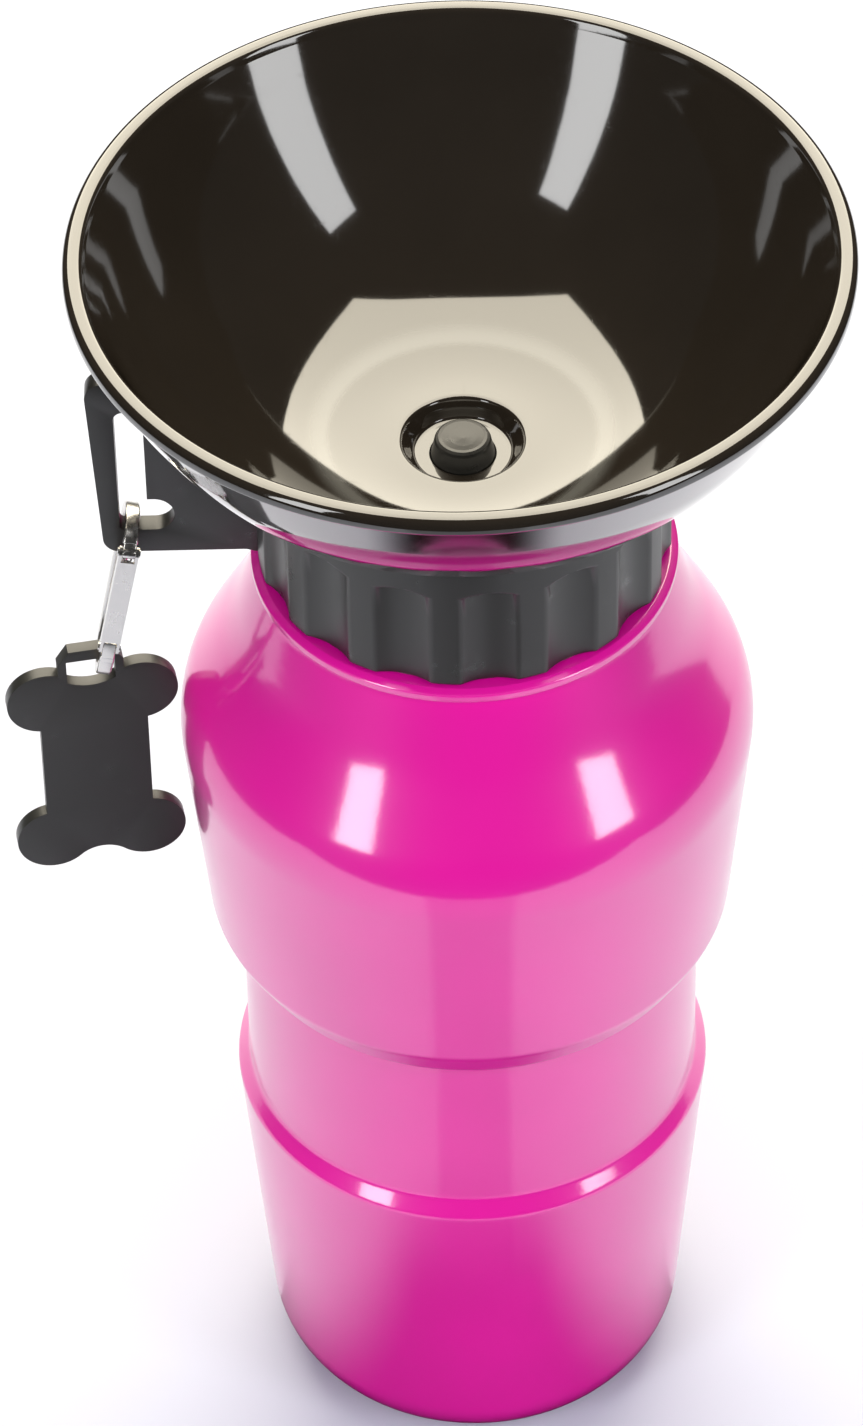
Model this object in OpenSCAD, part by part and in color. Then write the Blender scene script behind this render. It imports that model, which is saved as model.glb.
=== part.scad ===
/* [Bottle] */
// Height from the base to the top of the bowl's rim
total_h = 226.8; // [225.5:0.1:229]
// Wall of the blow-moulded bottle
wall = 1.4; // [1:0.1:2]
// Radius of the base, where the lower body's side line would meet the floor
base_r = 31.8; // [30:0.1:34]
// Radius of the soft edge round the base
base_edge_r = 12; // [8:1:14]
// Radius at the ridge on top of the lower body
ridge_r = 36.7; // [36:0.1:38]
// Radius at the waist
waist_r = 34.9; // [34:0.1:35.5]
// Radius of the upper body where it steps out of the waist
upper_r = 39.7; // [39:0.1:41]
// Radius where the upper body's side line would meet the slope of the shoulder
shoulder_r = 43.3; // [43:0.1:44]
// Radius where the shoulder turns from full to hollow
hollow_r = 34.4; // [34:0.1:35]
// Outside radius of the neck under the thread
neck_r = 26.4; // [26:0.1:26.5]
// Inside radius of the neck
mouth_r = 24.2; // [23:0.1:24.5]

/* [Lid] */
// Outside radius of the grip wall
grip_r = 30.2; // [30:0.1:31]
// Number of places round the grip wall, one of them taken by the hanging plate
grip_n = 15; // [12:1:16]
// Depth of a grip flute
flute_depth = 1.2; // [0.8:0.1:1.4]
// Rise of the lid's thread in one turn
thread_lead = 4.5; // [4:0.1:5]
// Turn of thread that holds the lid, in degrees
thread_turn = 450; // [360:30:480]
// Thickness of the hanging plate
plate_t = 3; // [2.4:0.1:3.4]
// Reach of the hanging plate from the bottle's centre line
plate_reach = 54.2; // [54:0.1:56]
// Width of the slot in the hanging plate
slot_w = 4.2; // [4.2:0.1:4.6]

/* [Bowl] */
// Outside radius of the bowl's rim
rim_r = 56; // [54:0.5:58]
// Rise of the bowl in one full turn on the lid
bowl_lead = 12; // [10:0.5:12]
// Radius of the round well in the bowl's floor
well_r = 8.9; // [8.6:0.1:9.4]
// Outside radius of the spigot under the bowl
spigot_r = 14; // [13.9:0.05:14.1]

/* [Valve] */
// Radius of the post where the bowl's floor closes round it
post_r = 4.65; // [4.6:0.01:4.68]
// Radius of the post just under its domed top
post_top_r = 4.35; // [4.2:0.05:4.5]
// Outside radius of the dip tube
tube_r = 5; // [4.8:0.1:5.2]
// Inside radius of the dip tube
tube_bore_r = 4.15; // [4.12:0.01:4.2]

/* [Snap hook] */
// Lean of the hook in its hanging plane, in degrees
hook_lean = 11; // [8:1:12]
// Width of the hook's strip
strip_w = 2.2; // [2:0.1:2.4]
// Thickness of the hook's strip
strip_t = 1.5; // [1.3:0.1:1.6]
// Inside radius of the hook's top bend
top_bend_r = 4.4; // [4.4:0.1:4.8]
// Inside radius of the hook's bottom bend
low_bend_r = 3; // [2.8:0.1:3.2]

/* [Tag] */
// Thickness of the tag
tag_t = 2; // [1.6:0.1:2.2]
// Half the width of the tag over its lobes
tag_half_w = 12.9; // [12.6:0.1:13]
// Half the width of the tag's shaft
tag_shaft_half = 8.1; // [7.5:0.1:8.5]
// Turn of the tag towards the front, in degrees
tag_yaw = 10; // [0:1:14]

/* [Hidden] */

round_fn = 96;
small_fn = 32;
eps = 0.05;

// Radius of the ledge where the upper body stands out over the waist
ledge_r = waist_r + 1.8;

// Heights on the bottle
ridge_z = 61.6;
waist_low_z = 64.5;
waist_top_z = 94.6;
ledge_z = 95.6;
upper_z = 101.1;
shoulder_z = 140.2;
hollow_z = 156.4;
neck_foot_z = 165.6;
bead_z = 168.2;
neck_z = 169.9;
mouth_z = 183;
bead_r = 31.3;
punt_r = 14;
punt_h = 3.2;
foot_ring_r = 17.6;

// Heights on the lid
collar_z = 170.4;
collar_top_z = 193.4;
bore_r = 28.3;
deck_z = 184.6;
deck_top_z = 186.8;
boss_bore_r = 14.3;
boss_r = 17.2;
web_z = 171.5;
web_top_z = 173.5;
post_hole_r = 5.2;
flute_top_z = 187.4;
thread_z = 174;
thread_depth = 1.1;

// Heights on the bowl
floor_z = 190.8;
well_floor_z = 188;
seat_z = 185.4;
spigot_z = 177.4;
lug_z = 182.1;
lug_h = 1.8;
lug_half_turn = 8;
lug_gap = 0.25;
bowl_turn = 90;
seal_z = 179.55;
seal_cord_r = 0.82;
seal_groove_r = 12.62;

// Hanging plate
plate_bottom_z = 171.1;
plate_top_z = 204;
slot_x = -48;
slot_bottom_z = 175.4;
slot_top_z = 198.4;
lobe_r = 3;
lobe_end_x = -42;

// Snap hook, in its own plane: across, and up from the centre of the top bend
hook_x = -49.2;
hook_z = 171.75;
low_bend_w = -21.25;
top_r = top_bend_r + strip_t / 2;
low_r = low_bend_r + strip_t / 2;
rail_a = asin((top_r - low_r) / -low_bend_w);
pivot_a = 155;
eye_a = 141;
nose_l = 2.1;
pivot = [top_r * cos(pivot_a), top_r * sin(pivot_a)];
catch = [-3.95, -17.95];
gate_l = norm(catch - pivot);
gate_a = atan2(catch[0] - pivot[0], pivot[1] - catch[1]);
gate_w = 2.9;
gate_wall = 0.45;
eye_t = 1.8;
eye_r = 0.9;
pin_r = 0.4;
pin_gap = 0.04;
spring_r = 0.62;
spring_wire_r = 0.13;
spring_curls = 7;
spring_x = 0.35;
spring_low = -6.4;
spring_high = -1.25;

// Tag, in its own plane: across, and up from the floor
tag_x = -55.9;
tag_hole_top = 148.6;
tag_lug_top = 150.6;
tag_hole_low = 143.4;
tag_hole_half = 3.65;
lug_half = 4.95;
lobe_top_z = 140.8;
lobe_low_z = 111.9;
tag_lobe_r = 5.7;
dip_z = 109;
dip_r = ((tag_half_w - tag_lobe_r) ^ 2 - tag_lobe_r ^ 2 + (lobe_low_z - dip_z) ^ 2)
    / (2 * (tag_lobe_r - lobe_low_z + dip_z));

// A unit vector
function unit(v) = v / norm(v);

// Points along an arc round c from angle a0 to a1
function arc(c, r, a0, a1) =
    let (n = ceil(abs(a1 - a0) / (r < 1 ? 30 : r < 3 ? 12 : 6)))
    [for (i = [0 : n]) c + r * [cos(a0 + (a1 - a0) * i / n), sin(a0 + (a1 - a0) * i / n)]];

// The points of one rounded corner p between its neighbours a and b
function corner(a, p, b, r) =
    let (u = unit(a - p), v = unit(b - p), half = acos(max(-1, min(1, u * v))) / 2,
        t = r / tan(half), c = p + unit(u + v) * r / sin(half),
        s = p + u * t - c, e = p + v * t - c,
        a0 = atan2(s[1], s[0]))
    arc(c, r, a0, a0 + atan2(s[0] * e[1] - s[1] * e[0], s * e));

// A closed outline from corners [x, y, radius], where radius 0 stays sharp
function rounded(list) =
    let (n = len(list))
    [for (i = [0 : n - 1])
        let (a = list[(i + n - 1) % n], p = list[i], b = list[(i + 1) % n])
        each p[2] == 0 ? [[p[0], p[1]]]
            : corner([a[0], a[1]], [p[0], p[1]], [b[0], b[1]], p[2])];

// A round body from an outline of [radius, height, corner radius]
module turned(list) {
    rotate_extrude($fn = round_fn) polygon(rounded(list));
}

// A helical rib from radius r0 to r1, w0 wide at r0 and w1 at r1, from angle a0 to a1
module helix_rib(r0, r1, w0, w1, a0, a1, z0, lead) {
    steps = ceil((a1 - a0) / 7.5);
    flip = r0 < r1 ? -1 : 1;
    section = [[r0, -flip * w0 / 2], [r1, -flip * w1 / 2], [r1, flip * w1 / 2], [r0, flip * w0 / 2]];
    points = [for (i = [0 : steps], q = section)
        let (a = a0 + (a1 - a0) * i / steps)
        [q[0] * cos(a), q[0] * sin(a), z0 + lead * a / 360 + q[1]]];
    sides = [for (i = [0 : steps - 1], k = [0 : 3])
        let (p = 4 * i + k, q = 4 * i + (k + 1) % 4)
        each [[p, p + 4, q], [q, p + 4, q + 4]]];
    last = 4 * steps;
    ends = [[0, 1, 2], [0, 2, 3], [last, last + 2, last + 1], [last, last + 3, last + 2]];
    polyhedron(points = points, faces = concat(sides, ends));
}

// Puts a flat outline drawn across and up into the vertical plane through the X axis
module upright(t) {
    rotate([90, 0, 0]) translate([0, 0, -t / 2]) linear_extrude(t) children();
}

// Blow-moulded bottle with its threaded neck
module bottle() {
    color("mediumvioletred") {
        turned([
            [0, punt_h, 0], [punt_r, punt_h - 0.6, 6], [foot_ring_r, 0, 1.2], [base_r, 0, base_edge_r],
            [ridge_r, ridge_z, 1.3], [waist_r, waist_low_z, 2], [waist_r, waist_top_z, 1.2],
            [ledge_r, ledge_z, 2.6], [upper_r, upper_z, 4.1], [shoulder_r, shoulder_z, 20],
            [hollow_r, hollow_z, 40],
            [bead_r - 0.4, neck_foot_z + 0.8, 3], [bead_r - 0.9, bead_z - 0.4, 0.5],
            [bead_r, bead_z, 0.4], [bead_r, bead_z + 1.2, 0.4], [bead_r - 1.1, neck_z, 0.3],
            [neck_r, neck_z, 0.5], [neck_r, mouth_z, 0.5], [mouth_r, mouth_z, 0.5],
            [mouth_r, neck_z - 1.5, 1.5], [bead_r - 1.9, neck_foot_z + 0.4, 3],
            [hollow_r - 0.9 * wall, hollow_z - 0.6, 40], [shoulder_r - wall, shoulder_z - 0.3, 18.6],
            [upper_r - wall, upper_z + 0.5, 5.4], [ledge_r - 0.9, ledge_z + 1.2, 2],
            [waist_r - wall, waist_top_z + 1.2, 1.5], [waist_r - wall, waist_low_z, 3],
            [ridge_r - wall, ridge_z - 0.6, 1.6], [base_r - wall, wall, base_edge_r - wall],
            [foot_ring_r + 0.6, wall, 1.2], [punt_r, punt_h + wall - 0.6, 6], [0, punt_h + wall, 0]
        ]);
        helix_rib(neck_r - 0.4, neck_r + thread_depth, 1.9, 0.9, 0, thread_turn, thread_z, thread_lead);
    }
}

// Flutes cut into the grip wall, except where the plate stands
module flutes() {
    cutter_r = 10.2;
    fade = 3;
    for (i = [1 : grip_n - 1])
        rotate([0, 0, 180 + i * 360 / grip_n]) translate([grip_r - flute_depth + cutter_r, 0, collar_z - 1]) {
            cylinder(h = flute_top_z - collar_z + 1, r = cutter_r, $fn = round_fn);
            translate([0, 0, flute_top_z - collar_z + 1])
                cylinder(h = fade, r1 = cutter_r, r2 = cutter_r - fade, $fn = round_fn);
        }
}

// Hanging plate in its flat outline, with the slot and its side lobe
module plate_outline() {
    slot_left = slot_x - slot_w / 2;
    difference() {
        polygon(rounded([
            [-grip_r + 1.2, plate_bottom_z - 0.6, 0], [-grip_r - 0.4, plate_bottom_z - 0.4, 0],
            [-grip_r - 1.6, plate_bottom_z, 1.5], [-plate_reach + 1.7, plate_bottom_z, 2.5],
            [-plate_reach, plate_top_z, 3], [-43, plate_top_z, 1.5], [-grip_r - 0.6, collar_top_z - 1, 0.6],
            [-grip_r + 1.2, collar_top_z - 1, 0]
        ]));
        polygon(rounded([
            [slot_left, slot_bottom_z, 0.8], [slot_left, slot_top_z, 1.4],
            [slot_left + slot_w, slot_top_z, 1.4], [slot_left + slot_w, slot_bottom_z, 0]
        ]));
        translate([slot_x, slot_bottom_z]) square([lobe_end_x - lobe_r - slot_x, 2 * lobe_r]);
        translate([lobe_end_x - lobe_r, slot_bottom_z + lobe_r]) circle(r = lobe_r, $fn = round_fn);
    }
}

// Screw lid: grip wall, deck, boss for the bowl, and the hanging plate
module lid_collar() {
    rib_w = 1.7;
    color("dimgray") difference() {
        union() {
            difference() {
                turned([
                    [grip_r, collar_z, 0.5], [grip_r, collar_top_z, 0.6],
                    [bore_r + 0.2, collar_top_z - 1.6, 0.4],
                    [bore_r - 0.3, deck_top_z, 1], [boss_bore_r, deck_top_z, 0.5],
                    [boss_bore_r, web_top_z, 0.5], [post_hole_r, web_top_z, 0], [post_hole_r, web_z, 0],
                    [boss_r, web_z, 0.8], [boss_r, deck_z, 0.8], [bore_r, deck_z, 0.4],
                    [bore_r, collar_z + 0.7, 0], [bore_r + 0.5, collar_z, 0]
                ]);
                flutes();
            }
            upright(plate_t) plate_outline();
            helix_rib(bore_r + 0.5, neck_r + 0.4, rib_w, 0.9, 0, thread_turn,
                thread_z - thread_lead / 2, thread_lead);
        }
        for (i = [0 : 2])
            rotate([0, 0, 120 * i])
                helix_rib(boss_bore_r - 0.5, spigot_r + 1.6, lug_h + 2 * lug_gap, lug_h + 2 * lug_gap,
                    -lug_half_turn - 2, bowl_turn + lug_half_turn + 2, lug_z, bowl_lead);
    }
}

// Flat seal between the bottle's mouth and the lid's deck
module lid_gasket() {
    color("whitesmoke") turned([
        [mouth_r + 0.3, mouth_z + eps, 0.3], [bore_r - 0.3, mouth_z + eps, 0.3],
        [bore_r - 0.3, deck_z - eps, 0.3], [mouth_r + 0.3, deck_z - eps, 0.3]
    ]);
}

// Tube from the post down to the bottle's floor, cut on the slant at its foot
module dip_tube() {
    foot_z = 8;
    top_z = 170.3;
    cut = 10;
    color("whitesmoke") difference() {
        translate([0, 0, foot_z]) cylinder(h = top_z - foot_z, r = tube_r, $fn = round_fn);
        translate([0, 0, foot_z - 1]) cylinder(h = top_z - foot_z + 2, r = tube_bore_r, $fn = round_fn);
        translate([0, 0, foot_z]) rotate([0, -35, 0]) translate([-cut, -cut, -cut]) cube([2 * cut, 2 * cut, cut]);
    }
}

// Valve post: solid domed head, shoulder for the washer, hollow body with side windows, tube spigot
module valve_post() {
    bore = 3.2;
    shoulder_z = 182.2;
    washer_z = 183.4;
    head_z = 191.4;
    window_r = 1.5;
    window_z = 177.2;
    color("dimgray") difference() {
        turned([
            [0, head_z - 0.5, 0], [2, head_z - 0.3, 0.6], [post_top_r - 0.4, head_z, 0.9],
            [post_r, well_floor_z, 0], [post_r, washer_z, 0], [7.6, washer_z, 0.3],
            [7.6, shoulder_z, 0.3], [5.9, shoulder_z - 1.2, 0.3], [5.9, web_top_z + 1.2, 0.3],
            [8, web_top_z + 1.2, 0.3], [8, web_top_z, 0], [post_hole_r - 0.05, web_top_z, 0],
            [post_hole_r - 0.05, web_z - 0.05, 0], [5.5, web_z - 0.05, 0.2], [5, web_z - 1.1, 0],
            [tube_bore_r - 0.05, web_z - 1.1, 0], [tube_bore_r - 0.05, 160.5, 0], [3.7, 160, 0],
            [0, 160, 0]
        ]);
        translate([0, 0, 159]) cylinder(h = 22, r = bore, $fn = round_fn);
        translate([0, 0, 181 - eps]) cylinder(h = 1.6, r1 = bore, r2 = 1, $fn = round_fn);
        for (i = [0 : 1])
            rotate([0, 0, 45 + 90 * i]) translate([-9, 0, window_z]) rotate([0, 90, 0])
                cylinder(h = 18, r = window_r, $fn = small_fn);
    }
}

// Soft washer on the post's shoulder, under the bowl's seat
module valve_washer() {
    color("whitesmoke") turned([
        [post_r + 0.03, 183.42, 0.2], [7.4, 183.42, 0.3], [7.4, seat_z - eps, 0.3],
        [post_r + 0.03, seat_z - eps, 0.2]
    ]);
}

// Drinking bowl with its rolled rim, well, seat, spigot and three lugs
module bowl() {
    groove = 0.95;
    color("black") {
        turned([
            [post_r + 0.1, seat_z + 0.6, 0], [post_r + 0.1, well_floor_z, 0.2],
            [well_r - 1.7, well_floor_z, 0.9],
            [well_r, floor_z, 0.9], [25.5, floor_z, 36], [45.3, 209, 62], [52.8, total_h - 1.4, 0.4],
            [53.3, total_h, 1], [rim_r, total_h, 1.3], [rim_r, total_h - 2.2, 0.6],
            [rim_r - 0.9, total_h - 3, 0.4],
            [47.1, 207.7, 50], [26.9, 189.8, 34], [spigot_r, 189, 0.8],
            [spigot_r, seal_z + groove, 0], [seal_groove_r, seal_z + groove, 0],
            [seal_groove_r, seal_z - groove, 0], [spigot_r, seal_z - groove, 0],
            [spigot_r, spigot_z, 0.4], [11.4, spigot_z, 0.4], [11.4, seat_z + 0.6, 1],
            [6.8, seat_z + 0.6, 0], [6.8, seat_z, 0.2], [5.8, seat_z, 0.2], [5.8, seat_z + 0.6, 0]
        ]);
        for (i = [0 : 2])
            rotate([0, 0, 120 * i])
                helix_rib(spigot_r - 0.5, spigot_r + 1.25, lug_h, lug_h, -lug_half_turn, lug_half_turn,
                    lug_z, bowl_lead);
    }
}

// Round seal in the spigot's groove
module bowl_seal() {
    color("whitesmoke") translate([0, 0, seal_z]) rotate_extrude($fn = round_fn)
        translate([boss_bore_r - 0.03 - seal_cord_r, 0]) circle(r = seal_cord_r, $fn = small_fn);
}

// Places a shape that is drawn in the hook's plane
module hook_frame() {
    translate([hook_x, 0, hook_z]) rotate([0, hook_lean, 0]) rotate([90, 0, 90]) children();
}

// Side view of the hook's strip: top bend, back rail, bottom bend and nose
function hook_outline() =
    let (half = strip_t / 2, low = [0, low_bend_w], left = rail_a - 180,
        up = nose_l * [-sin(rail_a), cos(rail_a)], side = -[cos(rail_a), sin(rail_a)])
    concat(
        arc([0, 0], top_r + half, eye_a, -rail_a), arc(low, low_r + half, -rail_a, left),
        [low + (low_r + half) * side + up, low + (low_r - half) * side + up],
        arc(low, low_r - half, left, -rail_a), arc([0, 0], top_r - half, -rail_a, eye_a)
    );

// A shape drawn in the hook's plane, t thick
module hook_plate(t) {
    translate([0, 0, -t / 2]) linear_extrude(t) children();
}

// Snap hook's body: bent strip, thinner eye for the pivot, and a notched tongue for the catch
module hook_body() {
    tongue_low = low_bend_w - low_r * sin(rail_a) + nose_l - 1.2;
    tongue_half = 0.65;
    eye_half = strip_t / 2 - 0.1;
    slack = pin_r + 0.1;
    color("silver") hook_frame() difference() {
        union() {
            hook_plate(strip_w) polygon(hook_outline());
            hook_plate(eye_t) polygon(concat(
                arc([0, 0], top_r + eye_half, eye_a - 14, pivot_a),
                arc([0, 0], top_r - eye_half, pivot_a, eye_a - 14)
            ));
            translate([pivot[0], pivot[1], -eye_t / 2]) cylinder(h = eye_t, r = eye_r, $fn = small_fn);
            hook_plate(eye_t) translate([catch[0] - tongue_half, tongue_low])
                square([2 * tongue_half, catch[1] + 1.25 - tongue_low]);
        }
        translate([pivot[0], pivot[1], -5]) cylinder(h = 10, r = pin_r + pin_gap, $fn = small_fn);
        hook_plate(2 * strip_w) translate([catch[0] - slack, catch[1] - slack]) square([3, 2 * slack]);
    }
}

// Places a shape that is drawn along the gate, with the pivot as its origin
module gate_frame() {
    hook_frame() translate([pivot[0], pivot[1], 0]) rotate([0, 0, gate_a]) children();
}

// Side wall of the gate, with round ears for both pins
module gate_side() {
    linear_extrude(gate_wall) difference() {
        union() {
            translate([-0.95, -gate_l]) square([1.65, gate_l]);
            circle(r = 0.95, $fn = small_fn);
            translate([0, -gate_l]) circle(r = 0.95, $fn = small_fn);
        }
        circle(r = pin_r, $fn = small_fn);
        translate([0, -gate_l]) circle(r = pin_r, $fn = small_fn);
    }
}

// Spring gate: a folded channel, open towards the inside of the hook
module hook_gate() {
    web_top = -1.35;
    web_low = -gate_l + 1.75;
    color("gainsboro") gate_frame() union() {
        translate([0, 0, gate_w / 2 - gate_wall]) gate_side();
        translate([0, 0, -gate_w / 2]) gate_side();
        translate([-0.95, web_low, -gate_w / 2]) cube([0.45, web_top - web_low, gate_w]);
        translate([-0.95, spring_low - 0.45, -gate_w / 2]) cube([1.5, 0.4, gate_w]);
    }
}

// Pivot pin and catch pin, each with peened ends
module gate_pins() {
    head = 0.22;
    color("gainsboro") gate_frame() for (w = [0, -gate_l])
        translate([0, w, 0]) {
            translate([0, 0, -gate_w / 2 - head]) cylinder(h = gate_w + 2 * head, r = pin_r, $fn = small_fn);
            for (s = [-1, 1])
                translate([0, 0, s * (gate_w + head) / 2 - head / 2])
                    cylinder(h = head, r = 0.62, $fn = small_fn);
        }
}

// Points round one ring of the spring's wire at step i of the coil
function spring_ring(i, steps) =
    let (a = 360 * spring_curls * i / steps, w = spring_low + (spring_high - spring_low) * i / steps)
    [for (k = [0 : 5])
        let (r = spring_r + spring_wire_r * cos(60 * k))
        [spring_x + r * cos(a), w + spring_wire_r * sin(60 * k), r * sin(a)]];

// Coil spring in the gate's channel, between its seat and the hook's eye
module gate_spring() {
    steps = 8 * spring_curls;
    pitch = (spring_high - spring_low) / spring_curls;
    echo(spring_gap = pitch - 2 * spring_wire_r);
    points = [for (i = [0 : steps]) each spring_ring(i, steps)];
    sides = [for (i = [0 : steps - 1], k = [0 : 5])
        let (p = 6 * i + k, q = 6 * i + (k + 1) % 6)
        each [[p, q, p + 6], [q, q + 6, p + 6]]];
    last = 6 * steps;
    ends = [for (k = [1 : 4]) each [[0, k + 1, k], [last, last + k, last + k + 1]]];
    color("silver") gate_frame() polyhedron(points = points, faces = concat(sides, ends));
}

// Bone-shaped tag with its lug and hole, drawn across and up
module tag_shape() {
    lobe_x = tag_half_w - tag_lobe_r;
    neck_z0 = lobe_top_z + 3.6;
    cut_t = tag_t + 1;
    chamfer = 1.7;
    share = dip_r / (tag_lobe_r + dip_r);
    web_x = share * lobe_x;
    web_low = dip_z - dip_r + share * (lobe_low_z - dip_z + dip_r);
    difference() {
        union() {
            upright(tag_t) polygon([
                [-tag_shaft_half, dip_z], [tag_shaft_half, dip_z], [tag_shaft_half, neck_z0],
                [lug_half, neck_z0], [lug_half, tag_lug_top - 2.6], [lug_half - chamfer, tag_lug_top],
                [chamfer - lug_half, tag_lug_top], [-lug_half, tag_lug_top - 2.6], [-lug_half, neck_z0],
                [-tag_shaft_half, neck_z0]
            ]);
            for (s = [-1, 1], z = [lobe_top_z, lobe_low_z])
                upright(tag_t) translate([s * lobe_x, z]) circle(r = tag_lobe_r, $fn = round_fn);
            difference() {
                upright(tag_t) translate([-web_x, web_low]) square([2 * web_x, lobe_low_z - web_low]);
                upright(cut_t) translate([0, dip_z - dip_r]) circle(r = dip_r, $fn = round_fn);
            }
        }
        upright(cut_t) translate([-tag_hole_half, tag_hole_low + 1])
            square([2 * tag_hole_half, tag_hole_top - tag_hole_low - 1]);
        intersection() {
            upright(cut_t) translate([0, tag_hole_low + 7.2]) circle(r = 7.2, $fn = round_fn);
            upright(cut_t) translate([-tag_hole_half, tag_hole_low - 1]) square([2 * tag_hole_half, 3]);
        }
    }
}

// Bone-shaped tag on the hook
module bone_tag() {
    color("dimgray") translate([tag_x, 0, 0]) rotate([0, 0, tag_yaw]) tag_shape();
}

bottle();
lid_collar();
lid_gasket();
dip_tube();
valve_post();
valve_washer();
bowl();
bowl_seal();
hook_body();
hook_gate();
gate_pins();
gate_spring();
bone_tag();
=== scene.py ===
import logging
import math
from collections.abc import Iterable
from dataclasses import dataclass, field
from enum import Enum

import bmesh
import bpy
from mathutils import Matrix, Vector


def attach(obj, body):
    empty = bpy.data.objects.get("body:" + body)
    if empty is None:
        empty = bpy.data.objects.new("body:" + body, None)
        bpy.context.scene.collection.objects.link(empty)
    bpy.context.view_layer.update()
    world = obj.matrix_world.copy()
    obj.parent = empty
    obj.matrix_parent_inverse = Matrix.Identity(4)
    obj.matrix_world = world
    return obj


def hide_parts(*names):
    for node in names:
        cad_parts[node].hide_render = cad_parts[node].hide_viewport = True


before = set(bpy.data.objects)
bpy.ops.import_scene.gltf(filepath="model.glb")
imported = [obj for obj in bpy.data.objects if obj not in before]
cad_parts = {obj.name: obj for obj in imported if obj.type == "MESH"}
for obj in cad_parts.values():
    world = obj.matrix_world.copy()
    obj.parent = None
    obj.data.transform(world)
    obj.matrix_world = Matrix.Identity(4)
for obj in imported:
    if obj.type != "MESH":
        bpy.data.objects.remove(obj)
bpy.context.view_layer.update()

MM = 0.001
log = logging.getLogger("travel_bottle")

# How close two vertices lie when they are merged, in metres.
LATHED_GAP = 2e-6
DRAWN_GAP = 1e-6
# The widest angle between two points of a drawn arc, in degrees.
ARC_STEP = 6.0
# The thread that bottle and lid share: how far it winds, in degrees, and its rise in a turn, in mm.
THREAD_TURN = 450.0
THREAD_LEAD = 4.5

Corner = tuple[float, float, float]
Point = tuple[float, float]
Place = tuple[float, float, float]
Colour = tuple[float, float, float]


class Facing(Enum):
    """How sharply a finished piece breaks its shading."""

    ROUND = math.radians(50)
    PLATE = math.radians(32)


# ---------------------------------------------------------------- outlines


def arc_points(centre: Point, radius: float, start: float, end: float, step: float) -> list[Point]:
    """Gives points along an arc.

    Args:
        centre: the arc's centre, in mm.
        radius: the arc's radius, in mm.
        start: the first angle, in degrees.
        end: the last angle, in degrees.
        step: the widest angle between two points, in degrees.

    Returns:
        The points, both ends included.
    """
    count = max(1, math.ceil(abs(end - start) / step - 1e-6))
    angles = (math.radians(start + (end - start) * i / count) for i in range(count + 1))
    return [(centre[0] + radius * math.cos(a), centre[1] + radius * math.sin(a)) for a in angles]


def corner_step(radius: float) -> float:
    """The angle between a corner's points, in degrees: wide on tiny corners, narrow on large."""
    if radius < 0.7:
        return 20
    if radius < 3:
        return 10
    return min(3.0, math.degrees(1.2 / radius))


def rounded_corner(before: Corner, corner: Corner, after: Corner) -> list[Point]:
    """Rounds one corner of an outline.

    Args:
        before: the corner before this one.
        corner: the corner to round, with its radius.
        after: the corner after this one.

    Returns:
        The points that take the corner's place.
    """
    place, radius = Vector(corner[:2]), corner[2]
    if radius == 0:
        return [corner[:2]]
    back = (Vector(before[:2]) - place).normalized()
    ahead = (Vector(after[:2]) - place).normalized()
    half = math.acos(max(-1.0, min(1.0, back.dot(ahead)))) / 2
    centre = place + (back + ahead).normalized() * radius / math.sin(half)
    first = place + back * radius / math.tan(half) - centre
    last = place + ahead * radius / math.tan(half) - centre
    start = math.degrees(math.atan2(first.y, first.x))
    sweep = math.degrees(math.atan2(first.x * last.y - first.y * last.x, first.dot(last)))
    return arc_points(tuple(centre), radius, start, start + sweep, corner_step(radius))


def rounded_outline(corners: list[Corner]) -> list[Point]:
    """Rounds every corner of a closed outline that has a radius.

    Args:
        corners: the corners as (across, up, radius), in mm.

    Returns:
        The outline's points, in mm.
    """
    count = len(corners)
    points: list[Point] = []
    for i, corner in enumerate(corners):
        points += rounded_corner(corners[i - 1], corner, corners[(i + 1) % count])
    return points


def with_steps(points: list[Point], longest: float, hold: float = 0.35,
               shortest: float = 1.3) -> list[Point]:
    """Splits an outline's long runs, with a point held close to each end of them.

    Args:
        points: the outline's points, in mm.
        longest: the longest run that is left whole, in mm.
        hold: how far from a run's ends its holding points stand, in mm.
        shortest: a run no longer than this gets no points, in mm.

    Returns:
        The outline with the added points.
    """
    result = [points[0]]
    for start, end in zip(points, points[1:]):
        a, b = Vector(start), Vector(end)
        length = (b - a).length
        if length > max(4 * hold, shortest):
            inner = max(1, math.ceil((length - 2 * hold) / longest))
            for i in range(inner + 1):
                share = (hold + (length - 2 * hold) * i / inner) / length
                result.append(tuple(a.lerp(b, share)))
        result.append(end)
    return result


# ---------------------------------------------------------------- modelling


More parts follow.
